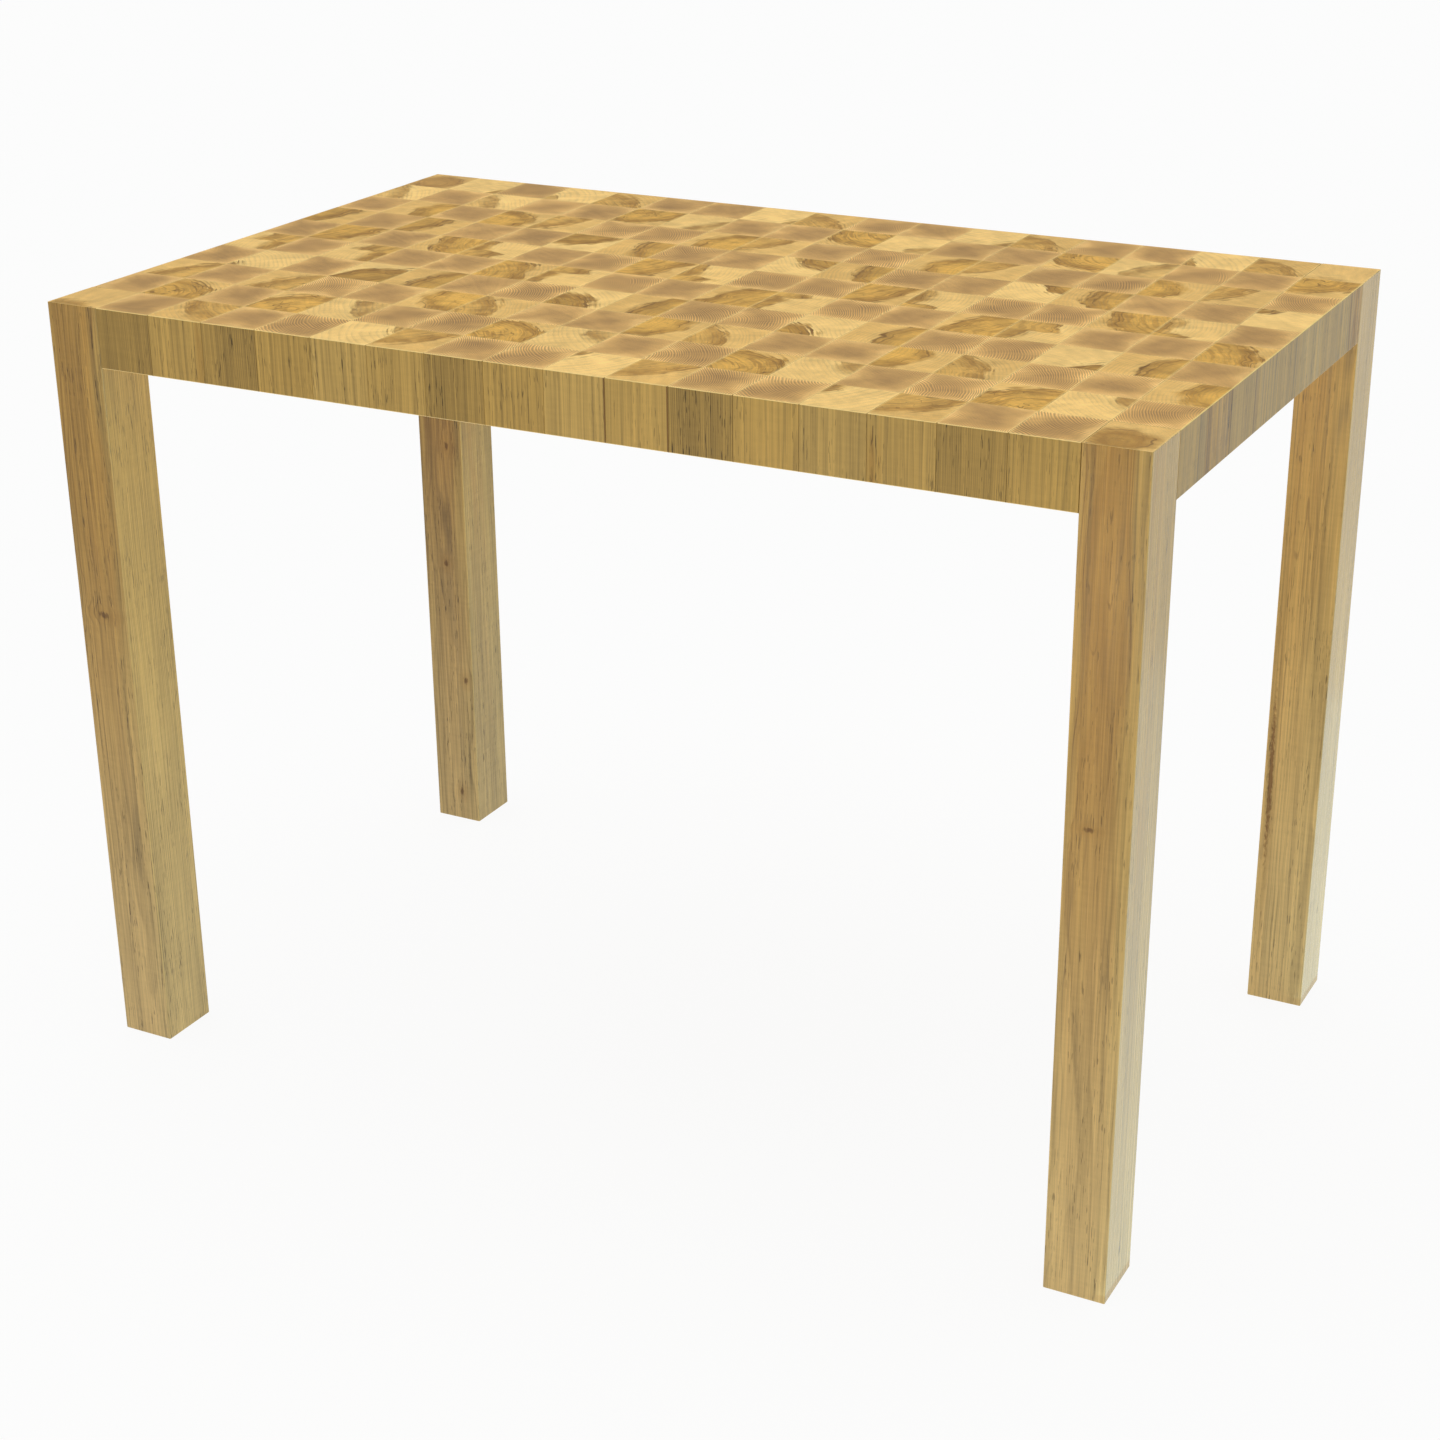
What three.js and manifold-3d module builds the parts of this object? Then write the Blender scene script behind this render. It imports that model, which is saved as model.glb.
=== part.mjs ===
// Butcher block table: an end-grain slab of glued strips, carried by four square legs that run up through
// its corners, with hidden dowels between the legs and the slab.
// Millimetres, +Z up. The origin is on the floor under the middle of the table. +X runs along the length
// to the right end, and -Y is the front.

import * as THREE from "three";
import { mergeVertices } from "three/addons/utils/BufferGeometryUtils.js";
import Module from "manifold-3d";

const wasm = await Module();
wasm.setup();

// Driving dimensions.
const LENGTH = 1219;
const WIDTH = 745;
const HEIGHT = 873;
const SLAB_THICKNESS = 65;
const LEG_ALONG_LENGTH = 65;
const LEG_ALONG_WIDTH = 73.5;
const STRIP_COUNT = 18;
const GLUE_LINE = 0.2; // between any two glued faces

// Dowels: hardwood pins, half of each in the leg and half in the slab.
const DOWEL_DIAMETER = 12;
const DOWEL_LENGTH = 60;
const DOWEL_CHAMFER = 1;
const DOWEL_SPACING = 32; // between the two dowels of a pair
const DOWEL_SIDES = 16;
const HOLE_CLEARANCE = 0.3; // round a dowel
const HOLE_END_CLEARANCE = 1; // beyond each end of a dowel
const STRIP_DOWEL_DEPTH = 20; // below the top: the pair that goes into the neighbour strip
const END_DOWEL_DEPTH = 43; // below the top: the pair that goes into the end strip

const halfLength = LENGTH / 2;
const halfWidth = WIDTH / 2;
const slabBottom = HEIGHT - SLAB_THICKNESS;
const legInnerX = halfLength - LEG_ALONG_LENGTH;
const legInnerY = halfWidth - LEG_ALONG_WIDTH;
const stripWidth = (2 * legInnerX) / (STRIP_COUNT - 2);

const CORNERS = [
  { name: "front_left", x: -1, y: -1 },
  { name: "front_right", x: 1, y: -1 },
  { name: "back_left", x: -1, y: 1 },
  { name: "back_right", x: 1, y: 1 },
];

const palePanel = new THREE.MeshStandardMaterial({ color: 0xd0ad74, roughness: 0.45, metalness: 0 });
const darkPanel = new THREE.MeshStandardMaterial({ color: 0xbd9860, roughness: 0.45, metalness: 0 });
const legWood = new THREE.MeshStandardMaterial({ color: 0xc0a169, roughness: 0.5, metalness: 0 });
const dowelWood = new THREE.MeshStandardMaterial({ color: 0xd9bd8c, roughness: 0.6, metalness: 0 });

// Where the dowels are: the middle of each one lies in the glue line that it crosses.
function planDowels() {
  const dowels = [];
  for (const corner of CORNERS) {
    for (const [number, side] of [[1, -1], [2, 1]]) {
      const offset = (side * DOWEL_SPACING) / 2;
      dowels.push({
        name: `dowel_${corner.name}_strip_${number}`,
        alongX: true,
        centre: new THREE.Vector3(
          corner.x * legInnerX,
          corner.y * (halfWidth - LEG_ALONG_WIDTH / 2) + offset,
          HEIGHT - STRIP_DOWEL_DEPTH,
        ),
      });
      dowels.push({
        name: `dowel_${corner.name}_end_${number}`,
        alongX: false,
        centre: new THREE.Vector3(
          corner.x * (halfLength - LEG_ALONG_LENGTH / 2) + offset,
          corner.y * legInnerY,
          HEIGHT - END_DOWEL_DEPTH,
        ),
      });
    }
  }
  return dowels;
}

// A cylinder lies along Y until it is turned to lie along X.
function layAlong(alongX, geometry) {
  return alongX ? geometry.rotateZ(Math.PI / 2) : geometry;
}

function solidFrom(geometry) {
  const bare = geometry.clone();
  bare.deleteAttribute("normal");
  bare.deleteAttribute("uv");
  const merged = mergeVertices(bare);
  const mesh = new wasm.Mesh({
    numProp: 3,
    vertProperties: merged.attributes.position.array,
    triVerts: new Uint32Array(merged.index.array),
  });
  return new wasm.Manifold(mesh);
}

function geometryFrom(solid) {
  const mesh = solid.getMesh();
  const geometry = new THREE.BufferGeometry();
  geometry.setAttribute("position", new THREE.BufferAttribute(mesh.vertProperties, 3));
  geometry.setIndex(new THREE.BufferAttribute(mesh.triVerts, 1));
  geometry.computeVertexNormals();
  return geometry;
}

// A square-edged block of wood between two corners, bored for every dowel that meets it.
function makeTimber(name, low, high, dowels, material) {
  const box = new THREE.Box3(low, high);
  const size = box.getSize(new THREE.Vector3());
  const centre = box.getCenter(new THREE.Vector3());
  const reach = box.clone().expandByScalar(GLUE_LINE);
  let solid = solidFrom(new THREE.BoxGeometry(size.x, size.y, size.z));
  for (const dowel of dowels.filter((each) => reach.containsPoint(each.centre))) {
    const radius = DOWEL_DIAMETER / 2 + HOLE_CLEARANCE;
    const length = DOWEL_LENGTH + 2 * HOLE_END_CLEARANCE;
    const hole = layAlong(dowel.alongX, new THREE.CylinderGeometry(radius, radius, length, DOWEL_SIDES));
    const place = dowel.centre.clone().sub(centre);
    hole.translate(place.x, place.y, place.z);
    solid = solid.subtract(solidFrom(hole));
  }
  const timber = new THREE.Mesh(geometryFrom(solid), material);
  timber.name = name;
  timber.position.copy(centre);
  return timber;
}

function makeLeg(corner, dowels) {
  const xs = [corner.x * (legInnerX + GLUE_LINE / 2), corner.x * halfLength].sort((a, b) => a - b);
  const ys = [corner.y * (legInnerY + GLUE_LINE / 2), corner.y * halfWidth].sort((a, b) => a - b);
  const low = new THREE.Vector3(xs[0], ys[0], 0);
  const high = new THREE.Vector3(xs[1], ys[1], HEIGHT);
  return makeTimber(`leg_${corner.name}`, low, high, dowels, legWood);
}

// The end strips are as wide as the legs and lie between them. The others run from front to back.
function makeStrip(index, dowels) {
  const isFirst = index === 0;
  const isLast = index === STRIP_COUNT - 1;
  const left = isFirst ? -halfLength : -legInnerX + (index - 1) * stripWidth + GLUE_LINE / 2;
  const right = isLast ? halfLength : -legInnerX + index * stripWidth - GLUE_LINE / 2;
  const reachY = isFirst || isLast ? legInnerY - GLUE_LINE / 2 : halfWidth;
  const low = new THREE.Vector3(left, -reachY, slabBottom);
  const high = new THREE.Vector3(right, reachY, HEIGHT);
  const name = `top_strip_${String(index + 1).padStart(2, "0")}`;
  return makeTimber(name, low, high, dowels, index % 2 ? darkPanel : palePanel);
}

function makeDowel(dowel) {
  const radius = DOWEL_DIAMETER / 2;
  const half = DOWEL_LENGTH / 2;
  const profile = [
    new THREE.Vector2(0, -half),
    new THREE.Vector2(radius - DOWEL_CHAMFER, -half),
    new THREE.Vector2(radius, -half + DOWEL_CHAMFER),
    new THREE.Vector2(radius, half - DOWEL_CHAMFER),
    new THREE.Vector2(radius - DOWEL_CHAMFER, half),
    new THREE.Vector2(0, half),
  ];
  const pin = new THREE.Mesh(new THREE.LatheGeometry(profile, DOWEL_SIDES), dowelWood);
  pin.name = dowel.name;
  pin.position.copy(dowel.centre);
  if (dowel.alongX) pin.rotation.z = Math.PI / 2;
  return pin;
}

const dowels = planDowels();
const slab = new THREE.Group();
for (let index = 0; index < STRIP_COUNT; index++) slab.add(makeStrip(index, dowels));

const legs = new THREE.Group();
for (const corner of CORNERS) legs.add(makeLeg(corner, dowels));

const joinery = new THREE.Group();
for (const dowel of dowels) joinery.add(makeDowel(dowel));

const table = new THREE.Group();
table.add(slab, legs, joinery);

export default table;
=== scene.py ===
"""Butcher block table: a glued end-grain top on four square legs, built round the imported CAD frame.

Metres, +Z up, -Y to the front. Every place comes from the frame. A strip of the top is one crosscut slice
of a panel of ten boards, so each block takes its figure from its board: where it lies across the board and
how far along the board its slice was cut. One solid wood material reads that from the mesh, so the rings
and the heartwood run through from the top's end grain to the long grain on its sides.
"""

import math
import random
from collections import namedtuple

import bpy
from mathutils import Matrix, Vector


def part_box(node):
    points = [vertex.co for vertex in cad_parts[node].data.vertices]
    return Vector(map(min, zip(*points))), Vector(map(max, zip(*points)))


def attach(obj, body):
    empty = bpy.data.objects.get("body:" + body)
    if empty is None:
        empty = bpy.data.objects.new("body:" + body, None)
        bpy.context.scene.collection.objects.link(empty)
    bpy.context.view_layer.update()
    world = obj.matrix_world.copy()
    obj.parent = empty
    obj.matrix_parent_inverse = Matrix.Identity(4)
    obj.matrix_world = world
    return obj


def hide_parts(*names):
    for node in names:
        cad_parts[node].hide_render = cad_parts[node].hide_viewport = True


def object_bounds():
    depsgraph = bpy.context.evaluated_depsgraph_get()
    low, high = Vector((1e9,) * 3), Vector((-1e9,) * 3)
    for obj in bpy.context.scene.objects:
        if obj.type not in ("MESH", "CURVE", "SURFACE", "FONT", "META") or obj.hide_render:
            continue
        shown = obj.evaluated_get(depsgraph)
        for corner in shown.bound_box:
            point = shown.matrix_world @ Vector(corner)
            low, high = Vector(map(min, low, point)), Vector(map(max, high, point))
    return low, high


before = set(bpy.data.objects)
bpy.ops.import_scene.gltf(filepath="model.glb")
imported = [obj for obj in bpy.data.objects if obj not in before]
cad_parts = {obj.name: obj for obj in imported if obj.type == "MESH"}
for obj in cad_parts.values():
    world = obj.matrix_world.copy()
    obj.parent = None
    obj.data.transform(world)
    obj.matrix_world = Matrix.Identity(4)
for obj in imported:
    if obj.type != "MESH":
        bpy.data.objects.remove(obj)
cad_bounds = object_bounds()

SEED = 11
MM = 0.001

# ---------------------------------------------------------------- the boards

# Places on a board's end are in blocks from its middle, +x to the right and +y to the back.
# pith is the middle of its growth rings, ring_width is in millimetres, and side is how light its long
# grain is against the others.
Board = namedtuple("Board", "pith ring_width side heart", defaults=(None,))

# Heartwood is a round patch. From one slice to the next, drift moves its centre and widens its radius.
# outline is how dark and sharp its edge is, band how brown the wood just inside that is, fill how much the
# rest differs from sapwood, gold how yellow it is, or how red below 0, ragged how rough the edge is, and
# pale how light the wood round it is. step sets the front part of the edge back: how far, where on the
# first slice, and how it moves.
Heart = namedtuple(
    "Heart", "centre radius drift outline band fill gold ragged pale step", defaults=((0, 0, 0),))
STILL = (0, 0, 0)  # a drift that moves nothing

# The two panels' boards, from the back one to the front one. Every other board is grey sapwood.
PANEL_A = (
    Board((0.75, -0.85), 3.0, 0.4),
    Board((1.9, -1.5), 5.5, 0.1,
          Heart((1.51, -1.19), 1.5, (-0.027, 0.07, 0), 0.6, 1.0, 0.35, 0.1, 0.3, 0.9)),
    Board((-1.7, -0.8), 2.5, 0.1),
    Board((2.2, 0.5), 4.5, 0.0,
          Heart((1.65, 0.34), 1.65, (-0.015, 0, 0), 0.9, 0.8, 0.9, 0.2, 0.3, 0.4)),
    Board((-1.3, -0.7), 2.4, 0.0),
    Board((-2.4, 0.3), 5.0, 0.1,
          Heart((-1.65, 0.0), 1.8, (0.012, 0, 0), 0.8, 1.0, 0.8, 0.6, 0.3, 0.8, (0.42, 0.38, -0.045))),
    Board((-1.2, -0.7), 2.7, 0.0),
    Board((-1.5, -0.9), 4.2, 0.0,
          Heart((-1.5, -0.7), 1.6, (0.02, 0, 0), 0.6, 1.0, 0.6, 0.6, 0.8, 0.5)),
    Board((-1.3, -0.7), 2.5, 0.0),
    Board((-1.4, 1.5), 5.0, 0.2,
          Heart((-0.9, 0.95), 1.38, (0.01, -0.01, 0), 0.5, 1.0, 0.6, 0.5, 0.7, 0.4)),
)
PANEL_B = (
    Board((1.6, -1.1), 8.0, 0.05,
          Heart((1.12, -0.7), 0.86, (0.005, 0, 0), 0.7, 0.8, 0.8, 0.0, 0.9, 1.0)),
    Board((1.3, -0.5), 2.4, -0.55),
    Board((1.6, -0.2), 4.0, -1.25,
          Heart((0.77, -0.1), 0.8, (-0.04, -0.02, 0), 0.5, 1.0, 0.9, 1.0, 0.3, 0.5)),
    Board((0.8, 0.9), 2.5, -0.4),
    Board((-1.6, 0.9), 4.2, -0.55,
          Heart((-1.25, 0.55), 1.7, (-0.013, 0, 0), 0.8, 1.0, 0.9, 0.7, 0.4, 0.4)),
    Board((-1.4, -0.8), 2.4, -0.45),
    Board((-1.6, -1.4), 5.0, -0.5,
          Heart((-0.62, -0.62), 0.26, (0.03, 0, 0.085), 1.0, 1.0, 1.0, 0.0, 1.0, 1.0)),
    Board((1.2, -0.5), 2.4, -0.5),
    Board((-0.9, -0.8), 5.0, -0.55,
          Heart((-0.35, -0.45), 0.9, (0.012, 0.01, 0), 0.9, 0.9, 0.9, 0.8, 0.9, 0.5)),
    Board((-1.5, -0.5), 2.2, -0.65),
)
BOARD_COUNT = len(PANEL_A)
STRIP_COUNT = 18
SLICE_PITCH = 0.069  # a slice and its saw cut, along the board

# The strips in the order in which they were cut from each panel.
CUT_FROM_A = (17, 13, 11, 9, 7, 5, 3, 1, 15)
CUT_FROM_B = (2, 18, 16, 14, 12, 10, 8, 6, 4)
# Strips turned over left to right, or end for end, before the last glue-up.
ROLLED_OVER = {1, 3, 4, 10, 14, 16}
END_FOR_END = {5, 6, 9, 10, 13, 14, 17, 18}
# The glue lines that show dark: right of these strips on the front, and behind these rows on the right side.
# Rows count from the back.
DARK_ON_FRONT = {10, 11}
DARK_ON_RIGHT = {7, 8}

# Each leg is one board with knots on its front. knot_place is how far across one of them is, in blocks, how
# far above the leg's middle, and how far apart they are, so a leg with one knot has the next out of reach.
# knot_size is half the width and half the length of each. All but the first are in metres.
Leg = namedtuple("Leg", "board knot_place knot_size")
LEGS = {
    "leg_front_left": Leg(
        Board((0.2, -1.6), 2.6, -0.25, Heart((-0.12, -0.75), 0.45, STILL, 0, 0.6, 0.8, -0.1, 0.5, 0.5)),
        (0.0, 0.09, 2.0), (0.007, 0.004)),
    "leg_front_right": Leg(
        Board((-0.1, 0.8), 3.4, 0.3, Heart((-0.07, -0.22), 0.48, STILL, 0.1, 0.9, 1.0, -0.2, 0.4, 0.5)),
        (-0.14, 0.07, 2.0), (0.005, 0.003)),
    "leg_back_left": Leg(
        Board((0.15, 1.1), 2.6, -0.7, Heart((-0.05, -0.15), 0.55, STILL, 0, 0.4, 0.8, -0.4, 0.6, 0.4)),
        (0.15, 0.1, 0.165), (0.004, 0.006)),
    "leg_back_right": Leg(
        Board((0.4, -1.3), 3.0, 0.4, Heart((-0.17, -0.68), 0.35, STILL, 0, 0.2, 0.3, 0.1, 0.7, 0.6)),
        (-0.39, -0.15, 2.0), (0.0032, 0.11)),
}

# ---------------------------------------------------------------- shapes

OUTER_EDGE = 1.2 * MM  # eased round the outside
LEG_TOP_EDGE = 0.6 * MM
SEAM_EDGE = 0.12 * MM  # at a glue line
GROOVE_DEPTH = 0.12 * MM
GROOVE_HALF_WIDTH = 0.2 * MM
ROUND_STEPS = 3  # flats in a quarter of a circle
LEAST_ARC = 0.3  # of its own radius, in a section that is drawn in


def add_to_scene(name, data):
    made = bpy.data.objects.new(name, data)
    bpy.context.scene.collection.objects.link(made)
    return made


def rounded_section(low, high, radii, inset):
    """The points of a rectangle with four round corners, from low to high, drawn in by inset.

    Sideways it is drawn in by no more than a corner's own radius, so strips stay flush where they meet.
    """
    centres = [(high[0], high[1], 0), (low[0], high[1], 90), (low[0], low[1], 180), (high[0], low[1], 270)]
    points = []
    for (x, y, start), radius in zip(centres, radii):
        inward_x = 1 if x == low[0] else -1
        inward_y = 1 if y == low[1] else -1
        arc = max(radius - inset, LEAST_ARC * radius)
        inset_x = min(inset, radius)
        for step in range(ROUND_STEPS + 1):
            angle = math.radians(start + 90 * step / ROUND_STEPS)
            points.append((
                x + inward_x * (inset_x + arc) + arc * math.cos(angle),
                y + inward_y * (inset + arc) + arc * math.sin(angle),
            ))
    return points


def stations(low, high, end_radii, seams):
    """Where the sections of a bar stand along it, and how far each is drawn in."""
    start, middle, end = [], [], []
    for step in range(ROUND_STEPS + 1):
        angle = math.pi / 2 * step / ROUND_STEPS
        along, inwards = 1 - math.cos(angle), 1 - math.sin(angle)
        start.append((low + end_radii[0] * along, end_radii[0] * inwards))
        end.append((high - end_radii[1] * along, end_radii[1] * inwards))
    for seam in seams:
        middle += [(seam - GROOVE_HALF_WIDTH, 0), (seam, GROOVE_DEPTH), (seam + GROOVE_HALF_WIDTH, 0)]
    return start + middle + end[::-1]


def make_bar(name, low, high, along, radii, end_radii, seams=()):
    """A closed bar along Y or Z with eased edges, and a fine groove round it at each seam.

    radii ease the long edges: for a bar along Z they are (right back, left back, left front, right front),
    and for one along Y they are (right top, left top, left bottom, right bottom).
    """
    across = (0, 2) if along == 1 else (0, 1)
    section_low = [low[axis] for axis in across]
    section_high = [high[axis] for axis in across]
    vertices = []
    loops = stations(low[along], high[along], end_radii, seams)
    for place, inset in loops:
        for x, other in rounded_section(section_low, section_high, radii, inset):
            vertices.append((x, place, other) if along == 1 else (x, other, place))
    count = len(radii) * (ROUND_STEPS + 1)
    faces = []
    for ring in range(len(loops) - 1):
        for i in range(count):
            j = (i + 1) % count
            quad = [ring * count + i, ring * count + j, (ring + 1) * count + j, (ring + 1) * count + i]
            faces.append(quad[::-1] if along == 1 else quad)
    first = list(range(count))
    last = [(len(loops) - 1) * count + i for i in range(count)]
    faces.append(first if along == 1 else first[::-1])
    faces.append(last[::-1] if along == 1 else last)
    mesh = bpy.data.meshes.new(name)
    mesh.from_pydata(vertices, [], faces)
    mesh.validate()
    mesh.shade_smooth()
    bar = add_to_scene(name, mesh)
    flat_faces = bar.modifiers.new("flat_faces", "WEIGHTED_NORMAL")
    flat_faces.weight = 100  # so that the large faces stay flat
    return bar


# ---------------------------------------------------------------- what each block is cut from

FAR_OFF = 9.0  # metres: where a patch of heartwood lies that a block doesn't have
NO_KNOT = (0.0, 9.0, 99.0)  # a place far above the block, with the next one further off still
SEED_REACH = 40  # how far apart the boards' figures may lie in the noise

# A block lies from low to high in a strip or leg. turn_x and turn_y are -1 where it is turned over. name is
# its board's, outer says whether its left and right edges are clear of a glue line, and tone is how light it
# is against the others.
Block = namedtuple(
    "Block", "low high turn_x turn_y board name outer dark_glue slice_number tone knot_place knot_size",
    defaults=(False, 0, 0.0, NO_KNOT, (MM, MM)))


def write_values(mesh, name, domain, values):
    attribute = mesh.attributes.new(name, "FLOAT_VECTOR", domain)
    attribute.data.foreach_set("vector", [number for value in values for number in value])


def write_wood(bar, blocks):
    """Stores on the mesh, for each face, which board its wood is from and where in that board it lies."""
    mesh = bar.data
    middles = [(block.low + block.high) / 2 for block in blocks]
    nearest = [
        min(range(len(blocks)), key=lambda i: (polygon.center - middles[i]).length_squared)
        for polygon in mesh.polygons
    ]
    in_board, in_block = [], []
    for polygon, index in zip(mesh.polygons, nearest):
        block = blocks[index]
        half = block.high - middles[index]
        turn_z = block.turn_x * block.turn_y
        for vertex in polygon.vertices:
            offset = mesh.vertices[vertex].co - middles[index]
            along = offset.z * turn_z + block.slice_number * SLICE_PITCH
            in_board.append((offset.x * block.turn_x, offset.y * block.turn_y, along))
            in_block.append((offset.x / half.x, offset.y / half.y, offset.z / half.z))
    write_values(mesh, "in_board", "CORNER", in_board)
    write_values(mesh, "in_block", "CORNER", in_block)
    facts = [block_facts(block) for block in blocks]
    for key in facts[0]:
        write_values(mesh, key, "FACE", [facts[index][key] for index in nearest])


def block_facts(block):
    """What the material needs to know about a block, with its lengths in metres."""
    size = block.high.x - block.low.x
    numbers = random.Random(f"{SEED} {block.name}")  # the same for every slice of one board
    seed = tuple(numbers.uniform(0, SEED_REACH) for _ in range(3))
    board, heart = block.board, block.board.heart
    disc = (FAR_OFF, FAR_OFF, 0.0)
    look = shade = step = (0.0, 0.0, 0.0)
    if heart:
        centre = [heart.centre[axis] + heart.drift[axis] * block.slice_number for axis in (0, 1)]
        radius = heart.radius + heart.drift[2] * block.slice_number
        depth, place, move = heart.step
        disc = (centre[0] * size, centre[1] * size, radius * size)
        look = (heart.outline, heart.band, heart.ragged)
        shade = (heart.pale, heart.fill, heart.gold)
        step = (depth * size, (place + move * block.slice_number) * size, 0.0)
    return {
        "pith": (board.pith[0] * size, board.pith[1] * size, board.ring_width * MM),
        "seed": seed,
        "heart_disc": disc,
        "heart_look": look,
        "heart_shade": shade,
        "heart_step": step,
        "tint": (0.0 if heart else 1.0, block.tone, board.side),
        "knot_place": (block.knot_place[0] * size, *block.knot_place[1:]),
        "knot_size": (*block.knot_size, 0.0),
        "outer": (*block.outer, float(block.dark_glue)),
    }


def strip_blocks(number, low, high, rows):
    """The blocks of one strip, from the front, each with its place in its board."""
    panel, order, letter = (PANEL_A, CUT_FROM_A, "A") if number % 2 else (PANEL_B, CUT_FROM_B, "B")
    turn_y = -1 if number in END_FOR_END else 1
    tones = random.Random(f"{SEED} strip {number}")
    blocks = []
    for row, (near, far) in rows:
        index = BOARD_COUNT - row if turn_y < 0 else row - 1
        on_front = row == BOARD_COUNT and number in DARK_ON_FRONT
        on_right = number == STRIP_COUNT and row in DARK_ON_RIGHT
        blocks.append(Block(
            low=Vector((low.x, near, low.z)),
            high=Vector((high.x, far, high.z)),
            turn_x=-1 if number in ROLLED_OVER else 1,
            turn_y=turn_y,
            board=panel[index],
            name=f"{letter}{index + 1}",
            outer=(number == 1, number == STRIP_COUNT),
            dark_glue=on_front or on_right,
            slice_number=order.index(number),
            tone=tones.uniform(-1, 1),
        ))
    return blocks


# ---------------------------------------------------------------- materials


def rgb(red, green, blue):
    """A colour given in the usual 0 to 255, as the linear numbers that a shader takes."""
    shares = [channel / 255 for channel in (red, green, blue)]
    linear = [c / 12.92 if c <= 0.04045 else ((c + 0.055) / 1.055) ** 2.4 for c in shares]
    return (*linear, 1.0)


class Graph:
    """Short ways to add nodes to one material."""

    def __init__(self, name):
        self.material = bpy.data.materials.new(name)
        self.material.use_nodes = True
        self.tree = self.material.node_tree
        self.tree.nodes.clear()

    def add(self, kind, **settings):
        node = self.tree.nodes.new(kind)
        for key, value in settings.items():
            setattr(node, key, value)
        return node

    def put(self, socket, value):
        """Links another node's output to the socket, or writes a plain number or colour there."""
        if isinstance(value, bpy.types.NodeSocket):
            self.tree.links.new(value, socket)
        else:
            socket.default_value = value

    def math(self, operation, first, second=0.0, third=0.0, clamp=False):
        node = self.add("ShaderNodeMath", operation=operation, use_clamp=clamp)
        for socket, value in zip(node.inputs, (first, second, third)):
            self.put(socket, value)
        return node.outputs[0]

    def vector(self, operation, first, second=(0, 0, 0)):
        node = self.add("ShaderNodeVectorMath", operation=operation)
        self.put(node.inputs[0], first)
        self.put(node.inputs[3] if operation == "SCALE" else node.inputs[1], second)
        return node.outputs["Value"] if operation == "LENGTH" else node.outputs["Vector"]

    def attribute(self, name):
        return self.add("ShaderNodeAttribute", attribute_name=name).outputs["Vector"]

    def parts(self, vector):
        node = self.add("ShaderNodeSeparateXYZ")
        self.put(node.inputs[0], vector)
        return node.outputs[0], node.outputs[1], node.outputs[2]

    def join(self, x, y, z):
        node = self.add("ShaderNodeCombineXYZ")
        for socket, value in zip(node.inputs, (x, y, z)):
            self.put(socket, value)
        return node.outputs[0]

    def noise(self, vector, detail=2.0, output="Fac"):
        node = self.add("ShaderNodeTexNoise")
        self.put(node.inputs["Vector"], vector)
        node.inputs["Scale"].default_value = 1.0
        node.inputs["Detail"].default_value = detail
        return node.outputs[output]

    def ramp(self, value, low, high, at_low=0.0, at_high=1.0):
        """A smooth change from at_low to at_high as value goes from low to high."""
        node = self.add("ShaderNodeMapRange", interpolation_type="SMOOTHSTEP")
        for key, number in (("From Min", low), ("From Max", high), ("To Min", at_low), ("To Max", at_high)):
            self.put(node.inputs[key], number)
        self.put(node.inputs["Value"], value)
        return node.outputs[0]

    def fade(self, value, low, high, at_low=1.0):
        """A smooth fall from at_low to 0 as value goes from low to high."""
        return self.ramp(value, low, high, at_low, 0.0)

    def pulse(self, value, start, full, fading, end):
        """A rise from 0 to 1, then a fall back to 0."""
        return self.product(self.ramp(value, start, full), self.fade(value, fading, end))

    def product(self, *values):
        result = values[0]
        for value in values[1:]:
            result = self.math("MULTIPLY", result, value)
        return result

    def centred(self, noise):
        """Noise that lies round 0 instead of 0.5."""
        return self.math("SUBTRACT", noise, 0.5)

    def blend(self, factor, first, second, mode="MIX"):
        node = self.add("ShaderNodeMix", data_type="RGBA", blend_type=mode)
        first_colour, second_colour = [socket for socket in node.inputs if socket.type == "RGBA"]
        self.put(node.inputs[0], factor)
        self.put(first_colour, first)
        self.put(second_colour, second)
        return next(socket for socket in node.outputs if socket.type == "RGBA")

    def output(self, shader):
        self.put(self.add("ShaderNodeOutputMaterial").inputs["Surface"], shader.outputs[0])

    def surface(self, colour, roughness, gloss=0.5, normal=None):
        """An opaque surface. gloss is the same all over it, and the rest may come from other nodes."""
        shader = self.add("ShaderNodeBsdfPrincipled")
        self.put(shader.inputs["Base Color"], colour)
        self.put(shader.inputs["Roughness"], roughness)
        shader.inputs["Specular IOR Level"].default_value = gloss
        if normal is not None:
            self.put(shader.inputs["Normal"], normal)
        self.output(shader)
        return shader


# ---------------------------------------------------------------- wood

# Colours of the oiled wood. The paler foot colour is painted light from the floor, and the pale seam colour
# also serves as a painted highlight on the outer edges.
GREY_SAP = rgb(212, 167, 100)
GREY_MIDDLE = rgb(182, 141, 84)
GREY_EDGE = rgb(232, 188, 118)
PALE_SAP = rgb(243, 202, 126)
TAN_SAP = rgb(210, 163, 86)
SIDE_SAP = rgb(176, 142, 72)
# Painted light: the paler colour painted on the legs towards the floor, where floor light falls on them.
FLOOR_LIT_SAP = rgb(214, 186, 128)
BROWN_HEART = rgb(190, 146, 68)
GOLDEN_HEART = rgb(224, 173, 78)
RED_HEART = rgb(160, 108, 58)
BAND_BROWN = rgb(158, 114, 48)
DARK_LINE = rgb(108, 72, 28)
# Pale wood at block seams and round heartwood, also used as the painted highlight on the outer edges.
SEAM_PALE_AND_HIGHLIGHT = rgb(252, 222, 148)

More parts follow.
